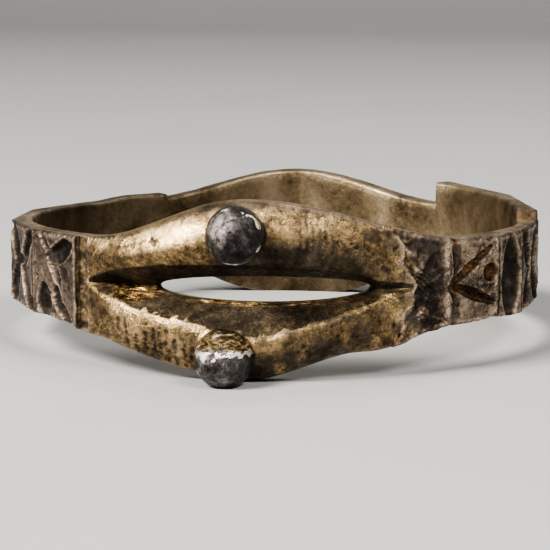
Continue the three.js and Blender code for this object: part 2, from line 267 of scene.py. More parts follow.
upperAngle, lowerAngle = (np.array(float(a)) for a in pellet["angles"])
upperOffset = float((groove(upperAngle)["upper"] + topEdge(upperAngle)) / 2)
lowerOffset = float((groove(lowerAngle)["lower"] + bottomEdge(lowerAngle)) / 2)
frontRest = pellet["radius"] - pellet["footWears"][1] - lowerOffset
backRest = float(-bottomEdge(np.array(180.0))) - b["plateWear"]
midlineLift = (frontRest - backRest) / (1 + math.cos(math.radians(float(lowerAngle))))


def midline(angle):
    return backRest + midlineLift * (1 + np.cos(np.radians(angle)))


def pelletPlace(angle, offset):
    reach = float(faceRadius(angle)) + b["branchBulge"] + pellet["proud"]
    turn = math.radians(float(angle))
    return np.array([reach * math.sin(turn), -reach * math.cos(turn), float(midline(angle)) + offset])


pelletPlaces = [pelletPlace(upperAngle, upperOffset), pelletPlace(lowerAngle, lowerOffset)]
low, high = (np.array(v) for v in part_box("lower_pellet"))
# the bore's axis, seen from the frame's origin
boreAxis = pelletPlaces[1][:2] - (low + high)[:2] / 2 / mm


def toFrame(points):
    return (points - np.array([boreAxis[0], boreAxis[1], 0])) * mm


def columnAngles():
    hair = 0.1  # between the columns on both sides of a step
    angles = []

    def spread(start, end, step):
        count = max(1, math.ceil((end - start) / step))
        angles.extend(np.linspace(start, end, count + 1))

    spread(bezelLeft + hair, slitLeft, 0.4)
    spread(slitLeft, slitRight, 0.34)
    spread(slitRight, bezelRight - hair, 0.3)
    spread(collarLeft + hair, bezelLeft - hair, 0.3)
    for panel in panels:
        centre = abs((panel["from"] + panel["to"]) / 2)
        step = 0.33 if centre < 66 else 0.5 if centre < 90 else 0.85  # finer where the photo shows them
        spread(panel["from"] + hair, panel["to"] - hair, step)
    spread(plateRight + hair, 180, 1.1)
    spread(-180, plateLeft - hair, 1.1)
    angles = np.round(np.array(angles), 5)
    return np.unique(np.where(angles == -180, 180, angles))


def borderShift(angle, height):
    # the lapped panel's left border draws back in a bay at the groove, and both its borders are ragged
    past = np.where(angle > bezelRight, lapped["to"] - bezelRight, bezelRight - slitRight)
    near = np.clip(1 - np.abs(angle - bezelRight) / past, 0, 1)
    offset = height - b["grooveCentre"]
    reach = np.where(offset > 0, topEdge(angle), bottomEdge(angle)) - b["grooveCentre"]
    bay = 1 - np.clip(offset / reach, 0, 1) ** 1.3
    shift = np.where((angle > slitRight) & (angle < lapped["to"]), b["lappedPanelBay"] * near * bay, 0)
    line = np.stack([0 * height, height, 0 * height], -1)
    nearLeft = np.clip(1 - np.abs(angle - bezelRight) / 3, 0, 1)
    shift = shift + b["raggedBorder"] * nearLeft * layeredNoise(line, 0.75, 71)
    nearRight = np.clip(1 - np.abs(angle - lapped["to"]) / 5, 0, 1)
    notch = -1.7 * bell(height, 0.3, 0.12) - 1.2 * ease(-height, 0.9, 1.9)
    shift = shift + nearRight * (notch + 0.35 * layeredNoise(line, 0.9, 73, 2))
    turn = np.radians(angle) + 0 * height
    wander = np.stack([np.sin(turn) * face, height + 0 * turn, -np.cos(turn) * face], -1)
    return shift + 0.42 * layeredNoise(wander, 1.1, 75, 2)


rowCounts = {"bore": 7, "bevel": 3, "edge": 3, "corner": 4, "face": 32, "flank": 15}
ridgeRow = sum(rowCounts.values()) - rowCounts["flank"]


def halfSection(angle, side):
    # rows of one half of the section, from the bore round the edge to the middle of the outer face
    g = groove(angle)
    edge = topEdge(angle) if side > 0 else bottomEdge(angle)
    ridge = g["upper"] if side > 0 else g["lower"]
    radius = faceRadius(angle)
    rounding, bulgeEnd, soft = b["upperBranch"] if side > 0 else b["lowerBranch"]
    corner = mix(b["edgeBevel"], rounding, g["branch"])
    bevel = b["edgeBevel"]
    lip = g["centre"] + side * g["slit"]
    radii, heights, carve = [], [], []

    def add(r, h, weight):
        radii.append(r + 0 * angle)
        heights.append(h)
        carve.append(weight)

    for i in range(rowCounts["bore"]):
        add(bore, mix(lip, edge - side * bevel, i / rowCounts["bore"]), 0)
    for i in range(rowCounts["bevel"]):
        turn = i / rowCounts["bevel"] * math.pi / 2
        add(bore + bevel * (1 - math.cos(turn)), edge - side * bevel * (1 - math.sin(turn)), 0)
    for i in range(rowCounts["edge"]):
        add(mix(bore + bevel, radius - corner, i / rowCounts["edge"]), edge, 0)
    swell = b["branchBulge"] * g["branch"]
    start = swell * math.sin(b["bulgeStart"] * math.pi)
    for i in range(rowCounts["corner"]):
        t = i / rowCounts["corner"]
        turn = t * math.pi / 2
        out, back = (corner + start) * math.sin(turn), side * corner * (1 - math.cos(turn))
        add(radius - corner + out, edge - back, t * t)

    def facePoint(share):
        wave = math.sin(math.pi * mix(b["bulgeStart"], bulgeEnd, share))
        return radius + swell * wave, mix(edge - side * corner, ridge, share)

    crest, foot = facePoint(1), radius - g["depth"]

    def flankPoint(share):
        return mix(crest[0], foot, share), mix(ridge, lip, share)

    start, end = facePoint(1 - soft), flankPoint(soft)
    shares = [i / rowCounts["face"] for i in range(rowCounts["face"])]
    shares += [1 + i / rowCounts["flank"] for i in range(rowCounts["flank"] + 1)]
    for share in shares:
        if share < 1 - soft:
            add(*facePoint(share), 1)
        elif share > 1 + soft:
            add(*flankPoint(share - 1), 1)
        else:
            t = (share - 1 + soft) / (2 * soft)
            add(*(mix(mix(start[k], crest[k], t), mix(crest[k], end[k], t), t) for k in range(2)), 1)
    return np.stack(radii, 1), np.stack(heights, 1), np.array(carve, float)


def leafCut(across, up, leaf, blunt, floor):
    # depth and raised burr of one graver cut
    # a leaf is its centre across, centre up, length, width, turn and depth
    x0, z0, length, width, turn, depth = leaf
    c, s = math.cos(turn), math.sin(turn)
    along = ((across - x0) * c + (up - z0) * s) / (length / 2)
    side = -(across - x0) * s + (up - z0) * c
    half = width / 2 * np.clip(1 - along ** 2, 1e-4, 1) ** blunt
    q = np.abs(side) / half
    cut = depth * np.clip(1 - along ** 2, 0, 1) ** 0.4 * np.clip(1 - q ** floor, 0, 1)
    cut = np.where(np.abs(along) < 1, cut, 0)
    burr = bell((q - 1.05) * half, 0.06) * (np.abs(along) < 1) * (q > 1)
    return cut, burr, along, side


def saltireLeaves(panel, rng, share):
    middle = np.array((panel["from"] + panel["to"]) / 2)
    width = face * math.radians(panel["to"] - panel["from"])
    reachX, reachZ = width / 4, float(topEdge(middle) - bottomEdge(middle)) / 4
    centre = float(topEdge(middle) + bottomEdge(middle)) / 2
    length = (2 * math.hypot(reachX, reachZ) - 0.22) * share
    leaves = []
    for across in (-1, 1):
        for up in (-1, 1):
            turn = math.atan2(up * reachZ, across * reachX) + rng.uniform(-0.09, 0.09)
            leaves.append((
                across * reachX * share + rng.uniform(-0.05, 0.05),
                centre + up * reachZ * share + rng.uniform(-0.05, 0.05),
                length * rng.uniform(0.92, 1.05),
                length * 0.52 * rng.uniform(0.85, 1.12),
                turn,
                b["leafDepth"] * share * rng.uniform(0.85, 1.1),
            ))
    return leaves


# for each kind of panel: how blunt its cuts end, how flat their floor is, how crisp they still are,
# and how pale the ground between them is
panelKinds = {
    "first": (0.5, 4.5, 0.72, 0.28),
    "saltire": (0.6, 4.5, 0.8, 0.06),
    "worn": (0.6, 4.5, 0.25, 0.2),
    "beak": (0.42, 2, 1, 0.66),
    "flute": (0.6, 2.4, 1, 0.12),
}
# the first panel's cuts: a slender one and a broad one above, running into a channel, and three below
firstPanelLeaves = [
    (-0.6, 1.5, 1.25, 0.36, -0.85, 0.26),
    (0.5, 1.2, 1.85, 0.9, 0.42, 0.4),
    (0.0, 0.55, 1.75, 0.6, -1.0, 0.2),
    (-0.72, -0.9, 1.6, 1.0, -1.42, 0.38),
    (0.28, -0.72, 1.15, 0.62, -1.2, 0.36),
    (0.85, -1.35, 1.35, 0.66, -0.95, 0.34),
]
beakJaws = ((1.4, 2.45), (-0.84, 2.62))  # rise and run of the two long cuts
beakWidth, beakDepth = 0.46, 0.27
eyePlace, eyeSize, eyeDepth = (0.97, 0.5), 0.36, 0.32


def panelLeaves(panel, width, rng):
    kind = panel["cut"]
    if kind == "first":
        return firstPanelLeaves
    if kind == "saltire":
        return saltireLeaves(panel, rng, 1)
    if kind == "worn":
        return saltireLeaves(panel, rng, 0.68)
    if kind == "flute":
        return [(0.02, 0.1, 3.7, width * 0.84, math.pi / 2, 0.46)]
    root = -width / 2 + 0.2
    leaves = []
    for rise, run in beakJaws:
        size, turn = math.hypot(run, rise), math.atan2(rise, run)
        leaves.append((root + run / 2, 0.14 + rise / 2, size, beakWidth, turn, beakDepth))
    return leaves


def carveBeak(change, cut, rim, across, height, width, points):
    # the drilled eye in its ring, the cove along the left border and the scratches under the beak
    eye = np.hypot((across - eyePlace[0]) * 0.88, height - eyePlace[1])
    hollow = eyeDepth * np.clip(1 - (eye / eyeSize) ** 6, 0, 1)
    change = np.where(eye < eyeSize, -hollow, change)
    cut = np.where(eye < eyeSize, hollow, cut)
    ring = bell(eye, 0.05, eyeSize + 0.06)
    change += 0.03 * ring * (cut < 0.05)
    cove = 0.26 * bell(across, 0.46, -width / 2)
    rim = np.maximum(rim, ring * 0.5) * (1 - ease(cove, 0.02, 0.12))
    scratched = ease(across, 0.1, 0.6) * ease(-height, -0.15, 0.1) * ease(height, -0.95, -0.5)
    strokes = np.sin(across * 30 - height * 44 + layeredNoise(points, 0.35, 9) * 3.5)
    change += scratched * 0.04 * strokes - cove
    return change, np.maximum.reduce([cut, cove * 1.5, scratched * 0.1]), rim


def carveWorn(change, cut, across, height, points, melted):
    # shallow hatching on the half melted face of the lapped panel
    hatch = bell(across, 0.5, -0.1) * bell(height, 0.4, 0.35)
    hatch += bell(across, 0.4, -0.2) * bell(height, 0.35, -0.75) * 0.8
    strokes = np.sin(across * 22 + height * 30 + layeredNoise(points, 0.5, 13) * 2.5)
    change += hatch * 0.05 * strokes + melted * 0.07
    return change, np.maximum(cut, 0.3 * ease(-melted, -0.1, 0.45))


def carvePanels(columns, angle, up, points):
    # relief over all panels: height change in mm, where metal was cut away, and where a rim stands proud
    relief, cutAway, rims = (np.zeros(up.shape) for _ in range(3))
    wobble = layeredNoise(points, 0.8, 3) * 0.07
    height = up + layeredNoise(points, 0.7, 5) * 0.07
    melted = layeredNoise(points, 0.5, 17, 4)
    for number, panel in enumerate(panels):
        rng = np.random.default_rng(b["seed"] + number)
        kind = panel["cut"]
        blunt, floor, crisp, pale = panelKinds[kind]
        inside = within(columns, panel)
        middle = (panel["from"] + panel["to"]) / 2
        width = face * math.radians(panel["to"] - panel["from"])
        across = np.radians(angle - middle) * face + wobble
        cut, burr, steps = (np.zeros(up.shape) for _ in range(3))
        for leaf in panelLeaves(panel, width, rng):
            one, edge, along, side = leafCut(across, height, leaf, blunt, floor)
            cut = np.maximum(cut, one)
            burr = np.maximum(burr, edge)
            if kind in ("first", "saltire"):
                steps += (one > 0.05) * np.sin(along * leaf[2] * 11 + side * 7) * 0.006
        if kind == "first":
            # chatter of the graver, in curved steps across the channel
            chatter = bell(across, 0.42, 0.08) * bell(height, 0.2, 0.62)
            steps += chatter * 0.045 * np.sin((height + 0.55 * (across - 0.1) ** 2 + 0.42 * across) * 44)
        burr *= cut < 0.01
        change = (steps - cut + burr * 0.018) * crisp
        rim = burr * 0.8 * crisp
        if kind == "beak":
            change, cut, rim = carveBeak(change, cut, rim, across, height, width, points)
            wall = bell(width / 2 - across, 0.12, 0.16)
            change += wall * 0.07
            rim = np.maximum(rim, wall * 0.9)
        elif kind == "worn":
            change, cut = carveWorn(change, cut, across, height, points, melted)
            wall = bell(width / 2 - across, 0.17, 0.22)
            change += wall * 0.09
            rim = np.maximum(rim, wall)
            cut *= 1 - 0.8 * wall
        else:
            wall = bell(width / 2 - np.abs(across), 0.1, 0.11)
            change += 0.035 * wall * (0.7 + 0.6 * melted) + melted * 0.018
            rim = np.maximum(rim, wall * 0.8)
        ground = ease(-cut, -0.05, -0.01) * pale
        rim = np.maximum(rim, ground * ease(melted, -0.75, 0.1))
        # the crack between neighbouring panels, open at the outer side of each rim
        fromBorder = face * np.radians(np.minimum(columns - panel["from"], panel["to"] - columns))
        crack = bell(fromBorder, 0.05, 0.02) * (kind != "worn")
        change -= (0.07 if kind == "beak" else 0.04) * crack
        # light rims where the panel's upper and lower edges have worn round
        for edge in (topEdge(columns), bottomEdge(columns)):
            lip = bell(np.abs(up - edge), 0.11, 0.14)
            rim = np.maximum(rim, lip * 0.75)
            change += lip * 0.03
        mark = ease(cut, 0.02, 0.2)
        if kind == "first":
            channel = bell(across, 0.5, 0.08) * bell(height, 0.34, 0.5)
            mark = mark * (1 - 0.75 * channel)
            rim = np.maximum(rim, channel * 0.35)
        if kind == "saltire":
            mark = mark * mix(0.5, 1, ease(layeredNoise(points, 0.7, 23, 4), -0.45, 0.2))
            rim = rim * mix(0.3, 0.9, ease(layeredNoise(points, 0.5, 29), -0.1, 0.35))
        if kind == "worn":
            mark = mark * 0.25 + 0.85 * ease(-layeredNoise(points, 0.5, 19, 4), -0.2, 0.25) * (1 - wall)
        relief = np.where(inside, change, relief)
        cutAway = np.where(inside, np.maximum(mark, crack * 0.9), cutAway)
        rims = np.where(inside, rim * (1 - crack) * (0.5 if abs(middle) > 100 else 1), rims)
    return relief, np.clip(cutAway, 0, 1), np.clip(rims, 0, 1)


# upright rows of small nicks on the lower branch: angle, upper end, lower end
nickRows = [
    (-25.2, -0.9, -1.5),
    (-23.3, -0.85, -1.9),
    (-20.9, -1.5, -2.2),
    (-18.8, -1.1, -2.1),
    (-16.8, -1.25, -2.3),
    (-15.5, -1.3, -2.2),
    (-14.1, -1.35, -2.45),
    (-12.4, -1.45, -2.6),
    (-10.6, -1.6, -2.75),
    (-9.0, -1.9, -2.8),
]
nickPitch = 0.15
nickRanges = ((0.055, 0.09), (0.05, 0.12), (0.8, 1.3))  # of half width, half height and strength
# larger holes, as angle, height, size and depth: two pairs on the upper branch
largeHoles = [
    (-25.2, 2.1, 0.12, 0.16),
    (-26.3, 2.14, 0.09, 0.13),
    (-16.8, 1.96, 0.1, 0.14),
    (-17.6, 2.04, 0.08, 0.12),
]
# and a row of equal ones along the lapped panel's ragged border, as angle and height
borderHoles = [
    (31.4, 1.72), (31.9, 1.5), (33.6, 1.05), (35.6, 0.72), (38.6, 0.2),
    (31.2, -1.2), (32.4, -1.62), (36.5, -1.1),
]


def wearBranches(angle, up, points, g):
    # the branches' shallow unevenness, nicks in upright rows, reeding and the groove's long scratches
    keys = ("upper", "lower", "centre", "slit", "open")
    upper, lower, centre, slit, isOpen = (g[key][:, None] for key in keys)
    on = g["branch"][:, None] * np.ones(up.shape)
    change = layeredNoise(points, 1.5, 31) * 0.03 * on + layeredNoise(points, 0.32, 33, 2) * 0.012 * on
    dark = np.zeros(up.shape)
    rng = np.random.default_rng(b["seed"] + 50)
    columns = angle[:, 20]
    for column, top, bottom in nickRows:
        for h0 in np.arange(bottom, top, nickPitch):
            if rng.random() < 0.25:
                continue
            a0 = column + rng.normal(0, 0.2)
            h0 = h0 + rng.normal(0, 0.03)
            size, tall, strength = (rng.uniform(*limits) for limits in nickRanges)
            near = np.where(np.abs(columns - a0) < 1)[0]
            block = slice(near[0], near[-1] + 1)
            away = np.radians(angle[block] - a0) * face
            nick = bell(away, size) * bell(up[block], tall, h0) * strength
            change[block] -= nick * 0.04
            dark[block] = np.maximum(dark[block], np.minimum(nick * 2.2, 1))
    lines = layeredNoise(points, 0.6, 37)
    reeded = bell(angle, 3.6, 14) * ease(up, 1.6, 2.0) * ease(-up, -3.3, -2.8)
    stroke = np.sin(np.radians(angle) * face * 27 + lines * 1.6)
    change += reeded * 0.02 * stroke
    dark = np.maximum(dark, reeded * ease(-stroke, 0.4, 0.95) * ease(lines, -0.3, 0.2) * 0.9)
    ragged = 0.3 * np.clip(layeredNoise(points, 0.45, 47), 0, 1)
    inGroove = (up < upper - 0.08) & (up > lower + 0.04 + ragged) & (on > 0.02)
    ends = ease(-angle, 14, 22) + ease(angle, 22, 27)
    along = np.stack([angle * 0.045, up, 0 * up], -1)  # noise on it is drawn out along the band
    change += inGroove * (0.012 + 0.03 * ends) * layeredNoise(along, 0.16, 41, 2)
    streaks = ends * ease(layeredNoise(along, 0.5, 43, 2), -0.6, 0.2) * (up < centre)
    rust = bell(centre - slit - up, 0.09, 0.05) * ease(layeredNoise(along, 0.4, 49, 2), -0.3, 0.3)
    streaks = np.maximum(streaks, rust * isOpen * 0.8)
    return change, dark, inGroove * (0.4 + 0.6 * streaks)


def scatterPits(columns, angle, up, change, dark):
    rng = np.random.default_rng(b["seed"] + 90)
    spots = []
    for _ in range(b["pitCount"]):
        size = rng.uniform(0.03, 0.055) * (1 + 0.8 * (rng.random() > 0.93))
        spots.append((rng.uniform(-100, 100), rng.uniform(-3.1, 3.4), size, rng.uniform(0.03, 0.07)))
    spots += largeHoles + [(a0, h0, 0.08, 0.15) for a0, h0 in borderHoles]
    for a0, h0, size, depth in spots:
        reach = math.degrees(size * 3 / face) + 0.5
        near = np.where((columns > a0 - reach) & (columns < a0 + reach))[0]
        if not len(near):
            continue
        block = slice(near[0], near[-1] + 1)
        away = (np.radians(angle[block] - a0) * face) ** 2 + (up[block] - h0) ** 2
        pit = np.exp(-(away / size ** 2) ** 1.6)
        change[block] -= pit * depth
        dark[block] = np.maximum(dark[block], pit * min(1, depth * 16))


def soften(field, passes):
    for _ in range(passes):
        padded = np.concatenate([field[:, :1], field, field[:, -1:]], 1)
        around = np.roll(field, 1, 0) + np.roll(field, -1, 0) + padded[:, :-2] + padded[:, 2:]
        field = (around + 2 * field) / 6
    return field


def seatPellets(points):
    # the band gives way to each pellet, and stands up a little as a soldered lip round it
    outward = points.copy()
    outward[..., 2] = 0
    radius = np.linalg.norm(outward, axis=-1, keepdims=True)
    outward /= radius
    front = radius[..., 0] > bore + 0.3
    seam = np.zeros(points.shape[:-1])
    for centre in pelletPlaces:
        rel = points - centre
        distance = np.linalg.norm(rel, axis=-1)
        along = (rel * outward).sum(-1)
        reach = pellet["radius"] + 0.015
        back = -np.sqrt(np.clip(reach ** 2 - (distance ** 2 - along ** 2), 0, None))
        lip = bell(distance - reach, 0.08, 0.09) * (distance > reach) * front * pellet["lipHeight"]
        pushed = (distance < reach) & front
        points += (np.where(pushed, back - along, 0) + lip)[..., None] * outward
        seam = np.maximum(seam, bell(distance - reach, 0.07) * front)
    return points, seam


def bandSide(side, columns, g):
    # one half of the band, below or above the groove's middle: its points and the marks for its finish
    onTop = side > 0
    wide = columns[:, None]
    branch, mid = g["branch"][:, None], midline(columns)[:, None]
    onPanel = np.any([within(columns, panel) for panel in panels], axis=0)[:, None]
    onLapped = (wide > bezelRight) & (wide < lapped["to"])
    onCollar = (wide > collarLeft) & (wide < bezelLeft)
    radius, height, carve = halfSection(columns, side)
    outer = (carve > 0)[None, :] & np.ones(radius.shape, bool)
    angle = wide + borderShift(wide, height)
    turn = np.radians(angle)
    edge = (topEdge(columns) if onTop else bottomEdge(columns))[:, None]
    fromEdge = np.abs(height - edge)

    def place(r, h):
        return np.stack([r * np.sin(turn), -r * np.cos(turn), mid + h], -1)

    plain = place(radius, height)

    def cloud(size, seed, start, end, layers=3):
        return ease(layeredNoise(plain, size, seed, layers), start, end)

    change, cutAway, rims = carvePanels(wide, angle, height, plain)
    branchChange, dark, inGroove = wearBranches(angle, height, plain, g)
    change = np.where(onPanel, change, branchChange)
    scatterPits(columns, angle, height, change, dark)

    # the lapped panel's left border: a raised, half melted lip that the branches' gilding runs up to
    border = bezelRight + borderShift(np.array(bezelRight + 0.01), height)
    past = np.radians(angle - border) * face
    melted = layeredNoise(plain, 0.34, 77)
    lip = bell(past, 0.16, 0.1) * (wide > slitRight)
    change -= onLapped * b["lappedPanelStep"] * 0.9 * (1 - ease(past + 0.3 * melted, -0.15, 0.9))
    change += (lip * onLapped * 0.13 + bell(past, 0.6, 0.2) * (wide > slitRight) * 0.05) * melted
    rims = np.maximum(rims * onPanel, lip * ease(melted, 0.05, 0.35) * onLapped * 0.8)
    change += layeredNoise(plain, 0.3, 81) * 0.01
    change -= onCollar * (0.05 + 0.07 * cloud(0.34, 83, -0.3, 0.4))  # hollows along the sunk collar

    # chips in the two edges, deepest on the panels
    chip = np.clip(layeredNoise(plain * np.array([1, 1, 0.3]), 0.8, 87 + side) + 0.05, 0, 1)
    chipped = np.where(np.abs(angle) < 62, 1, 0.45) * (0.35 if onTop else 1)
    chip = chip * mix(0.15, chipped, onPanel * 1.0) * b["chipDepth"] * 2
    drop = chip * bell(fromEdge, 0.32) * ease(radius, bore + 0.2, bore + 0.75)
    worn = radius + change * carve - drop * 0.6 * carve
    worn -= (carve == 0) * (radius < bore + 0.01) * (0.01 + 0.01 * layeredNoise(plain, 2.2, 93))
    worn = np.minimum(worn, face * 1.0045 + b["branchBulge"] * branch + onLapped * 0.26)
    points = place(worn, height - side * drop)
    points[..., 2] = np.maximum(points[..., 2], 0)
    points, seam = seatPellets(points)
    points[..., 2] = np.maximum(points[..., 2], 0)

    # what lies deeper than its surroundings, and what stands higher
    shape = change * carve - drop
    broad = soften(shape, 12)
    hollow = np.clip((broad - shape) * 16, 0, 1) * outer
    proud = np.clip((shape - broad) * 14, 0, 1) * outer
    corner = bell(fromEdge, 0.1, 0.05) * (radius > face - 0.35) * 0.5
    innerRim = bell(fromEdge, 0.1) * (radius < bore + 0.3) * 0.7 * cloud(0.9, 99, -0.4, 0.4)
    rows = np.arange(height.shape[1])[None, :]
    ridge = bell(rows, 2, ridgeRow - 1) * branch * (0.1 if onTop else 0.32)
    ridge = ridge * (1 + ease(wide, 0, 12)) * cloud(0.55, 97, -0.2, 0.3)
    proud = np.clip(np.maximum.reduce([proud, corner, ridge, rims * outer, innerRim]), 0, 1)
    hollow = hollow * (1 - 0.7 * rims * onPanel)

    # painted shade: a dark band along the upper branch's top edge; and a painted highlight: a light line
    # along the top edge of its right part
    band = bell(fromEdge, 0.3, 0.08) * branch * onTop * (1 - ease(np.abs(wide + 8), 8, 20))
    band = band * cloud(0.8, 101, -0.9, -0.1) * outer
    line = bell(fromEdge, 0.08, 0.12) * branch * onTop * ease(wide, 3, 9)
    proud = np.maximum(proud * (1 - band), line * 0.6 * cloud(0.7, 105, -0.6, 0.1) * outer)

    # the faces that rub most are polished: the upper branch's swelling and the lower one's ridge
    share = fromEdge / np.abs(edge - g["upper" if onTop else "lower"][:, None])
    polish = bell(share, 0.26, 0.36 if onTop else 0.78) * branch * outer * (inGroove == 0)

    # painted shade: both branches darken towards their undersides, most on the right
    toUnder = (height - g["upper"][:, None]) / 0.95 if onTop else fromEdge / 1.2
    under = 1.6 * bell(toUnder, 1) * branch * mix(0.15, 1.0, ease(wide, -6, 4))
    shaded = (ease(wide, 19, 25) + 0.9 * bell(wide, 4, 5)) * 0.85
    shaded = shaded + (0 if onTop else 0.75) * ease(wide, 3, 8)
    patches = layeredNoise(plain, 0.5, 103, 4)
    under = under * ease(patches, -1.0, -0.2 if onTop else 0.1)
    under = np.maximum(under, np.minimum(shaded, 0.9) * (wide < bezelRight) * ease(patches, -0.35, 0.35))
    under = under * (1 - 0.85 * proud) * outer * (inGroove == 0)
    proud = proud * (1 - 0.7 * (inGroove > 0)) * mix(1, 0.45, ease(np.abs(wide), 95, 108))

    # painted shade inside the band, at its left and low at its back
    paintedInsideShade = ease(-wide, 70, 115) * (1 - 0.5 * ease(-wide, 140, 175))
    paintedInsideShade = np.maximum(paintedInsideShade, ease(np.abs(wide), 120, 150) * ease(-height, 0.2, 1.3)) * (outer == 0)

    # gilding fades out over the lapped panel, and little is left on the other panels
    fade = 1 - ease(np.abs(angle - 6) + 5 * melted, 23, 35)
    fade = np.where(onPanel, np.where(wide < 0, 0.08, fade * 0.8 + 0.08), 1.0)
    onBeak = (wide > lapped["to"] + 2.2) * (wide < lapped["to"] + b["beakPanelAngle"] - 0.6)
    # painted shade joins the real hollows here: the dark band along the upper branch's top edge and the
    # darkening towards the undersides, with the pellets' seams, the sunk collar and the groove's upper
    # flank
    hollow = hollow + seam + band * 0.85 + under + onCollar * outer * 0.65 + onTop * (inGroove > 0) * 0.5
    return points, {
        "gilt": np.where(outer, fade, 0.75),
        "recess": np.clip(np.maximum(cutAway * onPanel, dark) * outer + seam * 0.9, 0, 1),
        "hollow": np.clip(hollow, 0, 1),
        "proud": proud * (1 - seam),
        "groove": inGroove * outer,
        "polish": polish,
        "paintedInsideShade": paintedInsideShade,
        "soil": np.clip(cutAway * 1.6 - 0.5, 0, 1) * outer * onBeak,
        "inside": np.where(outer, 0.0, 1.0),
    }


def makeMesh(name, points, faces, marks, sharpAngle):
    mesh = bpy.data.meshes.new(name)
    mesh.vertices.add(len(points))
    mesh.vertices.foreach_set("co", points.astype(np.float32).ravel())
    mesh.loops.add(len(faces) * 3)
    mesh.loops.foreach_set("vertex_index", faces.astype(np.int32).ravel())
    mesh.polygons.add(len(faces))
    mesh.polygons.foreach_set("loop_start", np.arange(0, len(faces) * 3, 3, dtype=np.int32))
    mesh.update(calc_edges=True)
    mesh.validate()
    for key, values in marks.items():
        mesh.attributes.new(key, "FLOAT", "POINT").data.foreach_set("value", values.astype(np.float32))
    mesh.shade_smooth()
    mesh.set_sharp_from_angle(angle=sharpAngle)
    return mesh


def meshFromBand():
    columns = columnAngles()
    g = groove(columns)
    isOpen = g["open"]
    lower, upper = (bandSide(side, columns, g) for side in (-1, 1))
    n, m = lower[0].shape[:2]
    lo = np.arange(n * m).reshape(n, m)
    up = lo + n * m
    for row in (0, -1):  # where there is no slit, the two halves share their first and last rows
        up[~isOpen, row] = lo[~isOpen, row]
    following = np.roll(np.arange(n), -1)
    lo2, up2 = lo[following], up[following]
    wall = np.where(isOpen | isOpen[following])[0]

    def quads(p, q, r, s):
        halves = ([p, q, r], [p, r, s])
        return np.concatenate([np.stack(corners, -1).reshape(-1, 3) for corners in halves])

    faces = np.concatenate([
        quads(lo[:, :-1], lo2[:, :-1], lo2[:, 1:], lo[:, 1:]),
        quads(up[:, 1:], up2[:, 1:], up2[:, :-1], up[:, :-1]),
        quads(lo[wall, -1], lo2[wall, -1], lo2[wall, 0], lo[wall, 0]),
        quads(up[wall, 0], up2[wall, 0], up2[wall, -1], up[wall, -1]),
    ])
    whole = (faces[:, 0] != faces[:, 1]) & (faces[:, 1] != faces[:, 2]) & (faces[:, 0] != faces[:, 2])
    points = np.concatenate([lower[0].reshape(-1, 3), upper[0].reshape(-1, 3)])
    used, inverse = np.unique(faces[whole], return_inverse=True)
    marks = {k: np.concatenate([lower[1][k].ravel(), upper[1][k].ravel()])[used] for k in lower[1]}
    return makeMesh("bandRelief", toFrame(points[used]), inverse.reshape(-1, 3), marks, math.radians(48))


class Signal:
    # a node's output that can stand in a formula
    def __init__(self, nodes, socket):
        self.nodes, self.socket = nodes, socket

    def __add__(self, other):
        return self.nodes.math("ADD", self, other)

    def __sub__(self, other):
        return self.nodes.math("SUBTRACT", self, other)

    def __rsub__(self, other):
        return self.nodes.math("SUBTRACT", other, self)

    def __mul__(self, other):
        return self.nodes.math("MULTIPLY", self, other)

    def __abs__(self):
        return self.nodes.math("ABSOLUTE", self)

    def clamped(self):
        self.socket.node.use_clamp = True
        return self


class NodeTree:
    # a node tree with a short way to add and join nodes
    def __init__(self, tree):
        self.tree = tree

    def give(self, target, value):
        if isinstance(value, Signal):
            self.tree.links.new(value.socket, target)
        else:
            target.default_value = value

    def add(self, kind, values=None, output=0, **settings):
        node = self.tree.nodes.new(kind)
        for key, value in settings.items():
            setattr(node, key, value)
        for key, value in (values or {}).items():
            self.give(node.inputs[key], value)
        return Signal(self, node.outputs[output])

    def math(self, operation, first, second=0.0):
        return self.add("ShaderNodeMath", {0: first, 1: second}, operation=operation)

    def larger(self, first, second):
        return self.math("MAXIMUM", first, second)


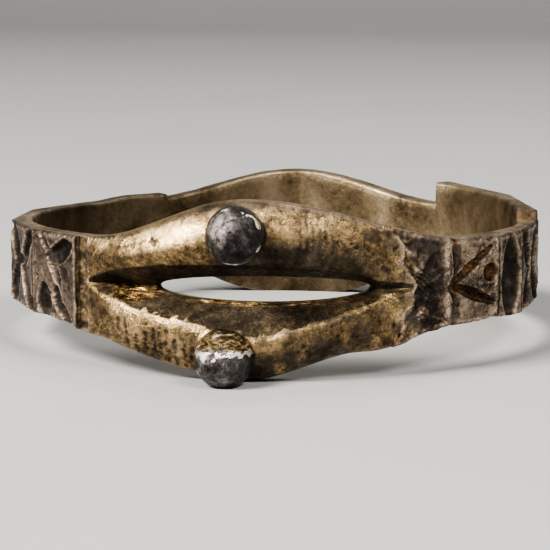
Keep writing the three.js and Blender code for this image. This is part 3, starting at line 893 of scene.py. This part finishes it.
class Finish(NodeTree):
    # one material; its noises are scaled to millimetres
    def __init__(self, name):
        self.material = bpy.data.materials.new(name)
        self.material.use_nodes = True
        super().__init__(self.material.node_tree)
        self.tree.nodes.clear()
        output = self.tree.nodes.new("ShaderNodeOutputMaterial")
        self.shader = self.tree.nodes.new("ShaderNodeBsdfPrincipled")
        self.tree.links.new(self.shader.outputs[0], output.inputs[0])
        coords = self.add("ShaderNodeTexCoord", None, "Object")
        self.place = self.stretched(coords, (1 / mm, 1 / mm, 1 / mm))

    def stretched(self, place, scale):
        return self.add("ShaderNodeMapping", {"Vector": place, "Scale": scale})

    def mark(self, name):
        return self.add("ShaderNodeAttribute", None, "Fac", attribute_name=name)

    def noise(self, scale, detail=4, roughness=0.55, distortion=0, stretch=None):
        place = self.stretched(self.place, stretch) if stretch else self.place
        values = {"Vector": place, "Scale": scale, "Detail": detail}
        values.update({"Roughness": roughness, "Distortion": distortion})
        return self.add("ShaderNodeTexNoise", values, "Fac")

    def spots(self, scale):
        return self.add("ShaderNodeTexVoronoi", {"Vector": self.place, "Scale": scale}, "Distance")

    def span(self, value, low, high, toLow=0.0, toHigh=1.0):
        values = {"Value": value, "From Min": low, "From Max": high, "To Min": toLow, "To Max": toHigh}
        return self.add("ShaderNodeMapRange", values, interpolation_type="SMOOTHSTEP")

    def ramp(self, value, stops):
        # each stop is its position and its colour's three shares
        color = self.add("ShaderNodeValToRGB", {"Fac": value}, "Color")
        elements = color.socket.node.color_ramp.elements
        while len(elements) < len(stops):
            elements.new(0.5)
        for element, (position, *shares) in zip(elements, stops):
            element.position = position
            element.color = (*shares, 1)
        return color

    def blend(self, factor, first, second):
        second = second if isinstance(second, Signal) else (*second, 1)
        return self.add("ShaderNodeMix", {0: factor, 6: first, 7: second}, 2, data_type="RGBA")

    def bump(self, height, strength, depth, onto=None):
        values = {"Height": height, "Strength": strength, "Distance": depth * mm}
        return self.add("ShaderNodeBump", {**values, "Normal": onto} if onto else values)

    def finish(self, values):
        for key, value in values.items():
            self.give(self.shader.inputs[key], value)
        return self.material


# the colours of the band's finish; ramps from dark to light run over the noise named in bandFinish
bandColors = {
    "gold": [
        (0.36, 0.022, 0.015, 0.009), (0.44, 0.12, 0.082, 0.043),
        (0.51, 0.34, 0.238, 0.12), (0.6, 0.84, 0.61, 0.32),
    ],
    "grey": [
        (0.36, 0.01, 0.008, 0.007), (0.45, 0.036, 0.028, 0.024),
        (0.53, 0.12, 0.092, 0.073), (0.62, 0.38, 0.29, 0.22),
    ],
    "speck": (0.045, 0.035, 0.027),
    "stain": (0.075, 0.06, 0.046),
    "scratch": (0.1, 0.07, 0.045),
    "inside": [(0.36, 0.1, 0.072, 0.042), (0.48, 0.29, 0.22, 0.135), (0.62, 0.56, 0.45, 0.31)],
    # colour of the painted shade inside the band
    "paintedInsideShade": (0.035, 0.024, 0.014),
    "grooveDark": [
        (0.44, 0.004, 0.003, 0.0025), (0.53, 0.01, 0.007, 0.005),
        (0.6, 0.026, 0.016, 0.009), (0.66, 0.36, 0.22, 0.08),
    ],
    "grooveGold": [
        (0.42, 0.02, 0.013, 0.007), (0.5, 0.13, 0.078, 0.03),
        (0.57, 0.46, 0.29, 0.11), (0.66, 0.92, 0.68, 0.34),
    ],
    # pale rims, also used for the painted highlight line on the upper branch's top edge
    "rim": [(0.36, 0.34, 0.24, 0.17), (0.48, 0.66, 0.5, 0.37), (0.6, 0.92, 0.76, 0.58)],
    # recess colour, also used for the painted shade on the branches
    "recess": [(0.38, 0.008, 0.007, 0.006), (0.52, 0.026, 0.022, 0.019), (0.66, 0.09, 0.075, 0.064)],
    "pore": (0.016, 0.012, 0.01),
    "earth": [(0.4, 0.05, 0.034, 0.02), (0.5, 0.17, 0.095, 0.042), (0.6, 0.55, 0.27, 0.085)],
}


def bandFinish():
    f, c = Finish("oldGiltSilver"), bandColors
    broad = f.noise(0.5, 6, 0.6, 0.4)
    fine = f.noise(4.2, 7, 0.68)
    grain = f.noise(11, 6, 0.72)
    dust = f.noise(20, 4, 0.65)
    strokes = f.noise(2.4, 7, 0.72, 0.2, (1, 1, 7))
    scratches = f.noise(3, 5, 0.6, 0, (1.1, 1.1, 14))
    isInside, inGroove, polish = f.mark("inside"), f.mark("groove"), f.mark("polish")
    tone = broad * 0.42 + fine * 0.32 + grain * 0.26
    # rubbed faces are calmer and lighter
    rubbed = broad * 0.6 + (fine + grain) * 0.2 + 0.04
    tone = tone + (rubbed - tone) * (polish * 0.8)
    gilt = f.span(f.mark("gilt") + (fine - 0.5) * 1.3, 0.25, 0.7)
    color = f.blend(gilt, f.ramp(tone, c["grey"]), f.ramp(tone, c["gold"]))
    color = f.blend(f.span(grain, 0.39, 0.44, 0.5, 0), color, c["speck"])
    # dark and brownish stains in clouds, and fine dark scratches along the band
    stain = f.span(f.noise(0.85, 6, 0.66, 0.5), 0.54, 0.66, 0, 0.55)
    color = f.blend(stain, color, c["stain"])
    color = f.blend(f.span(scratches, 0.38, 0.44, 0.4, 0), color, c["scratch"])
    inside = f.ramp(broad * 0.7 + fine * 0.3, c["inside"])
    # painted shade inside the band, at its left and low at its back
    inside = f.blend(f.mark("paintedInsideShade") * 0.62, inside, c["paintedInsideShade"])
    color = f.blend(isInside, color, inside)
    color = f.blend(f.span(inGroove, 0, 0.4, 0, 0.85), color, f.ramp(tone, c["grooveDark"]))
    color = f.blend(f.span(inGroove, 0.4, 1, 0, 0.95), color, f.ramp(strokes, c["grooveGold"]))
    # worn rims and edges take the rim colour, and so does the painted highlight line on the upper branch
    proud = (f.mark("proud") * f.span(tone, 0.41, 0.53, 0.25, 1)).clamped()
    color = f.blend(proud * 0.9, color, f.ramp((grain + fine) * 0.5, c["rim"]))
    # the recess colour covers cuts, nicks, pits and hollows, and the painted shade carried by the hollow
    # mark
    dark = f.larger(f.mark("recess"), f.mark("hollow"))
    dark = (dark * f.span(grain, 0.3, 0.6, 0.75, 1)).clamped()
    color = f.blend(dark * 0.93, color, f.ramp(f.noise(1.7, 6, 0.66), c["recess"]))
    pores = f.span(f.spots(3.6), 0.04, 0.13, 1, 0) * f.span(f.noise(1.1, 2), 0.44, 0.56)
    finePores = f.span(f.spots(6.5), 0.1, 0.2, 1, 0) * f.span(f.noise(1.6, 3), 0.44, 0.54)
    finePores = finePores * f.span(isInside, 0, 1, 1, 0)
    color = f.blend(f.larger(pores, finePores) * 0.92, color, c["pore"])
    soil = (f.mark("soil") * f.span(fine, 0.42, 0.54)).clamped()
    color = f.blend(soil, color, f.ramp((grain + broad) * 0.5, c["earth"]))
    # the groove's dark flank, the recesses and the soil are dull
    flank = f.span(inGroove, 0, 0.4) * f.span(inGroove, 0.4, 0.9, 0.9, 0)
    flank = flank * f.span(tone, 0.54, 0.62, 1, 0.2)
    matte = f.larger(f.larger(dark * 0.8, soil), flank)
    rough = f.span(tone, 0.4, 0.6, 0.34, 0.2) + matte * 0.3 + isInside * 0.14
    rough = rough + f.span(gilt, 0, 1, 0.1, 0)
    surface = f.bump(scratches, 0.6 - isInside * 0.5, 0.03)
    surface = f.bump(dust, 0.4, 0.02, surface)
    surface = f.bump(grain, f.span(polish, 0, 1, 0.5, 0.25), 0.04, surface)
    surface = f.bump(fine, f.span(polish, 0, 1, 0.45, 0.25), 0.07, surface)
    surface = f.bump(1 - pores, 0.7, 0.06, surface)
    return f.finish({
        "Base Color": color,
        "Metallic": f.span(matte, 0, 1, 0.97, 0.1),
        "Specular IOR Level": f.span(matte, 0, 1, 0.5, 0.15),
        "Roughness": rough,
        "Normal": surface,
    })


pelletColors = {
    "grey": [
        (0.36, 0.014, 0.012, 0.012), (0.46, 0.05, 0.045, 0.044),
        (0.54, 0.13, 0.118, 0.113), (0.64, 0.4, 0.36, 0.335),
    ],
    "sheen": (0.62, 0.54, 0.5),
    "gold": [
        (0.38, 0.03, 0.02, 0.01), (0.48, 0.16, 0.115, 0.055),
        (0.57, 0.46, 0.345, 0.18), (0.67, 0.9, 0.74, 0.48),
    ],
    "bright": (0.93, 0.87, 0.82),
    "pore": (0.015, 0.014, 0.014),
}


def pelletFinish():
    f, c = Finish("greyPelletSilver"), pelletColors
    broad = f.noise(0.9, 5, 0.6, 0.3)
    fine = f.noise(4, 7, 0.66)
    grain = f.noise(12, 5, 0.68)
    wrinkles = f.noise(1.9, 7, 0.66, 1.4, (1, 1, 3.2))
    tone = broad * 0.45 + fine * 0.35 + grain * 0.2
    # painted sheen, read from the mark named worn, on the side that faces the front, left and up
    sheen = (f.mark("worn") * f.span(fine, 0.34, 0.6)).clamped()
    color = f.blend(sheen * 0.7, f.ramp(tone, c["grey"]), c["sheen"])
    hood = f.span(f.mark("hood"), 0.35, 0.65)
    color = f.blend(hood, color, f.ramp(wrinkles, c["gold"]))
    patches = f.span(f.mark("bright"), 0.4, 0.6)
    color = f.blend(patches, color, c["bright"])
    pores = f.span(f.spots(5), 0.03, 0.12, 1, 0) * f.span(broad, 0.48, 0.58)
    color = f.blend(pores * 0.9, color, c["pore"])
    surface = f.bump(grain, 0.7, 0.06)
    surface = f.bump(fine, 0.7, 0.1, surface)
    surface = f.bump(patches, 0.6, 0.05, surface)
    surface = f.bump(wrinkles, hood * 0.9, 0.12, surface)
    rough = f.span(tone, 0.4, 0.6, 0.4, 0.24)
    return f.finish({"Base Color": color, "Metallic": 0.92, "Roughness": rough, "Normal": surface})


def grainyFinish(name, values):
    f = Finish(name)
    fine = f.noise(*values["noise"])
    scale, strength, depth = values["bump"]
    return f.finish({
        "Base Color": f.ramp(fine, values["colors"]),
        "Metallic": values["metallic"],
        "Roughness": f.span(fine, 0.3, 0.7, *values["roughness"]),
        "Normal": f.bump(f.noise(scale, 4), strength, depth),
    })


class Shaper(NodeTree):
    # one geometry node tree with named inputs
    def __init__(self, name):
        super().__init__(bpy.data.node_groups.new(name, "GeometryNodeTree"))
        self.tree.is_modifier = True
        for way in ("INPUT", "OUTPUT"):
            self.tree.interface.new_socket("Geometry", in_out=way, socket_type="NodeSocketGeometry")
        self.inputs = self.tree.nodes.new("NodeGroupInput")
        self.outputs = self.tree.nodes.new("NodeGroupOutput")
        self.identifiers = {}

    def input(self, name, kind, value=None):
        socket = self.tree.interface.new_socket(name, in_out="INPUT", socket_type="NodeSocket" + kind)
        if value is not None:
            socket.default_value = value
        self.identifiers[name] = (socket.identifier, value)
        return Signal(self, self.inputs.outputs[name])

    def given(self):
        return Signal(self, self.inputs.outputs["Geometry"])

    def scaled(self, vector, factor):
        return self.add("ShaderNodeVectorMath", {0: vector, "Scale": factor}, operation="SCALE")

    def split(self, vector):
        parts = self.add("ShaderNodeSeparateXYZ", {"Vector": vector})
        return [Signal(self, socket) for socket in parts.socket.node.outputs]

    def ball(self, radius, subdivisions):
        values = {"Radius": radius, "Subdivisions": subdivisions}
        return self.add("GeometryNodeMeshIcoSphere", values, "Mesh")

    def draw(self, low, high, seed):
        values = {0: low, 1: high, "Seed": seed}
        return self.add("FunctionNodeRandomValue", values, data_type="FLOAT_VECTOR")

    def scatter(self, points, size, scales, seed, chosen):
        # small lumps on the points, each with its own scale and turn
        values = {"Points": points, "Instance": self.ball(size, 1)}
        values["Scale"] = self.draw(*scales, seed)
        values["Rotation"] = self.draw((0, 0, 0), (6.28, 6.28, 6.28), seed)
        return self.add("GeometryNodeInstanceOnPoints", {**values, **chosen})

    def finish(self, geometry, material):
        real = self.add("GeometryNodeRealizeInstances", {"Geometry": geometry})
        done = self.add("GeometryNodeSetMaterial", {"Geometry": real, "Material": material})
        self.give(self.outputs.inputs[0], done)
        return self

    def run(self, name, start, values):
        # evaluates the tree on a start mesh and returns the finished piece as a plain mesh object
        holder = bpy.data.objects.new(name, start)
        bpy.context.scene.collection.objects.link(holder)
        modifier = holder.modifiers.new(name, "NODES")
        modifier.node_group = self.tree
        for key, (identifier, value) in self.identifiers.items():
            modifier[identifier] = values.get(key, value)
        bpy.context.view_layer.update()
        ready = holder.evaluated_get(bpy.context.evaluated_depsgraph_get())
        mesh = bpy.data.meshes.new_from_object(ready)
        holder.modifiers.remove(modifier)
        holder.data = mesh
        mesh.name = name
        print(name, "made:", len(mesh.polygons), "faces")
        return holder


def pelletTree():
    s = Shaper("pelletShape")
    radius = s.input("Radius", "Float", pellet["radius"] * mm)
    dent = s.input("Dent Depth", "Float", pellet["dentDepth"] * mm)
    wear = s.input("Foot Wear", "Float", 0.0)
    hoodHeight = s.input("Hood Height", "Float", 0.0)
    hoodThickness = s.input("Hood Thickness", "Float", pellet["hoodThickness"] * mm)
    paintedSheenSide = s.input("Painted Sheen Side", "Vector", pellet["paintedSheenSide"])
    chips = s.input("Rim Chips", "Float", 1.0)
    place = s.input("Place", "Vector", (0, 0, 0))
    seed = s.input("Seed", "Float", 1.0)
    material = s.input("Material", "Material")
    position = s.add("GeometryNodeInputPosition")
    inMm = s.scaled(position, 1 / mm)
    outward = s.add("ShaderNodeVectorMath", {0: position}, operation="NORMALIZE")

    def noise(scale, detail, shift):
        # from -0.5 to 0.5
        values = {"Vector": inMm, "Scale": scale, "Detail": detail, "W": seed + shift}
        return s.add("ShaderNodeTexNoise", values, "Fac", noise_dimensions="4D") - 0.5

    def facing(direction):
        values = {0: outward, 1: direction}
        return s.add("ShaderNodeVectorMath", values, "Value", operation="DOT_PRODUCT")

    # the golden hood with its wavy border, and a torn bright line along it
    height = s.split(position)[2]
    rough = noise(2.4, 5, 0)
    above = height + rough * (0.9 * mm) - hoodHeight
    hood = (above * (12 / mm) + 0.5).clamped()
    torn = abs(above + 0.13 * mm) + noise(3.1, 3, 4) * (0.7 * mm)
    nearHood = ((0.12 * mm - torn) * (30 / mm)).clamped() * (1 - hood)
    # bright chips lie along the rim that shows, where the ball turns away to its seat
    rim = 0.2 - abs(facing((0, -1, 0)) - 0.36)
    rim = s.math("MINIMUM", rim, 0.1) * 0.9 + (noise(2.3, 6, 6) - 0.155)
    bright = s.larger(nearHood, (rim * 26).clamped() * chips)
    # painted sheen on the side that faces the front, left and up, stored under the name worn
    sheen = ((facing(paintedSheenSide) + rough * 0.9 - 0.72) * 4).clamped()
    shape = noise(0.9, 3, 2) * dent + noise(4, 3, 8) * (dent * 0.4) + bright * (0.008 * mm)
    lift = hood * (hoodThickness + noise(3.4, 4, 3) * (0.09 * mm))
    body = s.ball(radius, pellet["subdivisions"])
    # the mark named worn holds the painted sheen
    for name, value in (("hood", hood), ("bright", bright), ("worn", sheen)):
        values = {"Geometry": body, "Name": name, "Value": value}
        body = s.add("GeometryNodeStoreNamedAttribute", values, data_type="FLOAT", domain="POINT")
    offset = s.scaled(outward, shape + lift)
    body = s.add("GeometryNodeSetPosition", {"Geometry": body, "Offset": offset})
    # the worn foot: what lies under it is pressed flat
    x, y, z = s.split(s.add("GeometryNodeInputPosition"))
    flat = s.add("ShaderNodeCombineXYZ", {"X": x, "Y": y, "Z": s.larger(z, (radius - wear) * -1)})
    body = s.add("GeometryNodeSetPosition", {"Geometry": body, "Position": flat})
    body = s.add("GeometryNodeTransform", {"Geometry": body, "Translation": place})
    return s.finish(s.add("GeometryNodeSetShadeSmooth", {"Geometry": body}), material)


solderValues = {
    "beadCount": 60,
    "beadSize": 0.05,
    "beadScales": ((0.5, 0.5, 0.3), (1.5, 1.5, 1.1)),
    "kept": 0.55,  # share of the beads that are left
    "seeds": (4, 9),
    "noise": (6, 5),
    "colors": [(0.35, 0.12, 0.11, 0.105), (0.5, 0.5, 0.46, 0.43), (0.66, 0.8, 0.76, 0.72)],
    "metallic": 1.0,
    "roughness": (0.45, 0.25),
    "bump": (25, 0.4, 0.02),
}


def seamPoints(centre, count=96, tiltCount=120):
    # where the pellet's ball meets the face of the band
    places = []
    out = np.array([centre[0], centre[1], 0]) / math.hypot(centre[0], centre[1])
    side = np.array([-out[1], out[0], 0])
    bulgeEnd = 0.62
    for turn in np.linspace(0, 2 * math.pi, count, endpoint=False):
        for tilt in np.linspace(0.35, 2.6, tiltCount):
            spread = math.cos(turn) * side + math.sin(turn) * np.array([0, 0, 1])
            p = centre + (pellet["radius"] + 0.02) * (math.cos(tilt) * -out + math.sin(tilt) * spread)
            angle = np.array(math.degrees(math.atan2(p[0], -p[1])))
            up = p[2] - float(midline(angle))
            g = groove(angle)
            top, bottom = float(topEdge(angle)), float(bottomEdge(angle))
            edge, ridge = (top, float(g["upper"])) if up > 0 else (bottom, float(g["lower"]))
            share = np.clip((up - edge) / (ridge - edge), 0, 1)
            surface = face + b["branchBulge"] * math.sin(math.pi * mix(b["bulgeStart"], bulgeEnd, share))
            if up > top or up < bottom:
                break
            if math.hypot(p[0], p[1]) > surface:
                places.append(p)
                break
    return np.array(places)


def beadTree():
    s = Shaper("solderBeads")
    count = s.input("Bead Count", "Int", solderValues["beadCount"])
    size = s.input("Bead Size", "Float", solderValues["beadSize"] * mm)
    seed = s.input("Seed", "Int", solderValues["seeds"][0])
    material = s.input("Material", "Material")
    path = s.add("GeometryNodeMeshToCurve", {"Mesh": s.given()})
    path = s.add("GeometryNodeResampleCurve", {"Curve": path, "Count": count})
    values = {"Probability": solderValues["kept"], "Seed": seed}
    kept = s.add("FunctionNodeRandomValue", values, 3, data_type="BOOLEAN")
    beads = s.scatter(path, size, solderValues["beadScales"], seed, {"Selection": kept})
    return s.finish(beads, material)


soilValues = {
    "crumbsPerSquareMetre": 9.0e7,
    "crumbSize": 0.022,
    "crumbScales": ((0.4, 0.4, 0.4), (1.5, 1.4, 1.0)),
    "seed": 12,
    "noise": (7, 6),
    "colors": [(0.35, 0.05, 0.024, 0.012), (0.5, 0.2, 0.09, 0.03), (0.66, 0.42, 0.22, 0.09)],
    "metallic": 0.0,
    "roughness": (0.95, 0.75),
    "bump": (30, 0.6, 0.03),
}


def crumbTree():
    s = Shaper("soilCrumbs")
    density = s.input("Crumbs per Square Metre", "Float", soilValues["crumbsPerSquareMetre"])
    size = s.input("Crumb Size", "Float", soilValues["crumbSize"] * mm)
    seed = s.input("Seed", "Int", soilValues["seed"])
    material = s.input("Material", "Material")
    soil = s.add("GeometryNodeInputNamedAttribute", {"Name": "soil"}, data_type="FLOAT")
    values = {"Mesh": s.given(), "Density": soil * density, "Seed": seed}
    points = s.add("GeometryNodeDistributePointsOnFaces", values, distribute_method="RANDOM")
    return s.finish(s.scatter(points, size, soilValues["crumbScales"], seed, {}), material)


bandObject = bpy.data.objects.new("carvedBand", meshFromBand())
bpy.context.scene.collection.objects.link(bandObject)
bandObject.data.materials.append(bandFinish())
print("band made:", len(bandObject.data.polygons), "faces")

pelletMaterial = pelletFinish()
tree = pelletTree()
pelletObjects = []
for number, name in enumerate(("upperPellet", "lowerPellet")):
    values = {
        "Place": tuple(toFrame(pelletPlaces[number])),
        "Foot Wear": pellet["footWears"][number] * mm,
        "Hood Height": pellet["hoodHeights"][number] * mm,
        "Seed": pellet["seeds"][number],
        "Material": pelletMaterial,
    }
    pelletObjects.append(tree.run(name, bpy.data.meshes.new(name + "Start"), values))

beads = beadTree()
solder = grainyFinish("brightSolder", solderValues)
beadObjects = []
for name, centre, seed in zip(("upperSolder", "lowerSolder"), pelletPlaces, solderValues["seeds"]):
    places = toFrame(seamPoints(centre))
    start = bpy.data.meshes.new(name + "Start")
    start.from_pydata([tuple(p) for p in places], [(i, i + 1) for i in range(len(places) - 1)], [])
    beadObjects.append(beads.run(name, start, {"Seed": seed, "Material": solder}))

soilMaterial = grainyFinish("driedSoil", soilValues)
crumbs = crumbTree().run("soilCrumbs", bandObject.data.copy(), {"Material": soilMaterial})

for piece in [bandObject, *pelletObjects, *beadObjects, crumbs]:
    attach(piece, "root")
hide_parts("band")
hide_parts("upper_pellet")
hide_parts("lower_pellet")

stageValues = {
    "azimuth": 7,
    "elevation": 8.8,
    "distance": 99,  # mm from the middle of the ring
    "aimDrop": 12 / 2357,  # how far below the ring's middle the camera aims, as a share of the distance
    "lens": 154.3,
    "roomStrength": 0.05,
    "roomColor": (0.86, 0.87, 0.88, 1),
    "floorColors": [(0.3, 0.44, 0.44, 0.435), (0.7, 0.47, 0.47, 0.465)],
    # place, aim, width and depth in metres, power, colour
    "softboxes": {
        "keySoftbox": ((-0.16, -0.14, 0.20), (0, -0.004, 0.003), (0.12, 0.09), 1.25, (1, 0.97, 0.93)),
        "fillSoftbox": ((0.15, -0.15, 0.21), (0, 0, 0.003), (0.12, 0.09), 0.55, (1, 0.98, 0.95)),
        "topSoftbox": ((0.02, 0.10, 0.22), (0, 0, 0.003), (0.16, 0.10), 0.14, (1, 0.99, 0.97)),
    },
}


def addFloor():
    # a pale floor that curves up behind into a backdrop
    width, front, back, height, bend, bendSteps = 0.9, -0.5, 0.35, 0.6, 0.12, 12
    profile = [(front, 0.0)]
    for i in range(bendSteps + 1):
        turn = i / bendSteps * math.pi / 2
        profile.append((back - bend + bend * math.sin(turn), bend - bend * math.cos(turn)))
    profile.append((back, height))
    points = [(x, y, z) for y, z in profile for x in (-width, width)]
    faces = [(2 * i, 2 * i + 1, 2 * i + 3, 2 * i + 2) for i in range(len(profile) - 1)]
    mesh = bpy.data.meshes.new("paleFloor")
    mesh.from_pydata(points, [], faces)
    mesh.shade_smooth()
    floor = bpy.data.objects.new("paleFloor", mesh)
    bpy.context.scene.collection.objects.link(floor)
    f = Finish("paleFloor")
    color = f.ramp(f.noise(0.02, 3), stageValues["floorColors"])
    mesh.materials.append(f.finish({"Base Color": color, "Roughness": 0.8}))


def aimed(place, target):
    return (Vector(target) - Vector(place)).to_track_quat("-Z", "Y").to_euler()


def addSoftbox(name, place, target, size, power, color):
    light = bpy.data.lights.new(name, "AREA")
    light.shape = "RECTANGLE"
    light.size, light.size_y = size
    light.energy = power
    light.color = color
    holder = bpy.data.objects.new(name, light)
    holder.location = place
    holder.rotation_euler = aimed(place, target)
    bpy.context.scene.collection.objects.link(holder)


def addCamera():
    s = stageValues
    az, el, distance = math.radians(s["azimuth"]), math.radians(s["elevation"]), s["distance"] * mm
    middle = Vector(toFrame(np.array([0, 0, backRest + midlineLift])))
    away = Vector((math.sin(az) * math.cos(el), -math.cos(az) * math.cos(el), math.sin(el)))
    data = bpy.data.cameras.new("photoCamera")
    data.lens = s["lens"]
    data.clip_start, data.clip_end = 0.001, 10
    camera = bpy.data.objects.new("photoCamera", data)
    camera.location = middle + away * distance
    camera.rotation_euler = aimed(camera.location, middle - Vector((0, 0, s["aimDrop"] * distance)))
    bpy.context.scene.collection.objects.link(camera)
    bpy.context.scene.camera = camera


addFloor()
for name, values in stageValues["softboxes"].items():
    addSoftbox(name, *values)
world = bpy.data.worlds.new("softRoom")
world.use_nodes = True
world.node_tree.nodes["Background"].inputs["Color"].default_value = stageValues["roomColor"]
world.node_tree.nodes["Background"].inputs["Strength"].default_value = stageValues["roomStrength"]
bpy.context.scene.world = world
addCamera()
bpy.context.scene.view_settings.look = "AgX - High Contrast"
print("floor, light and camera set")
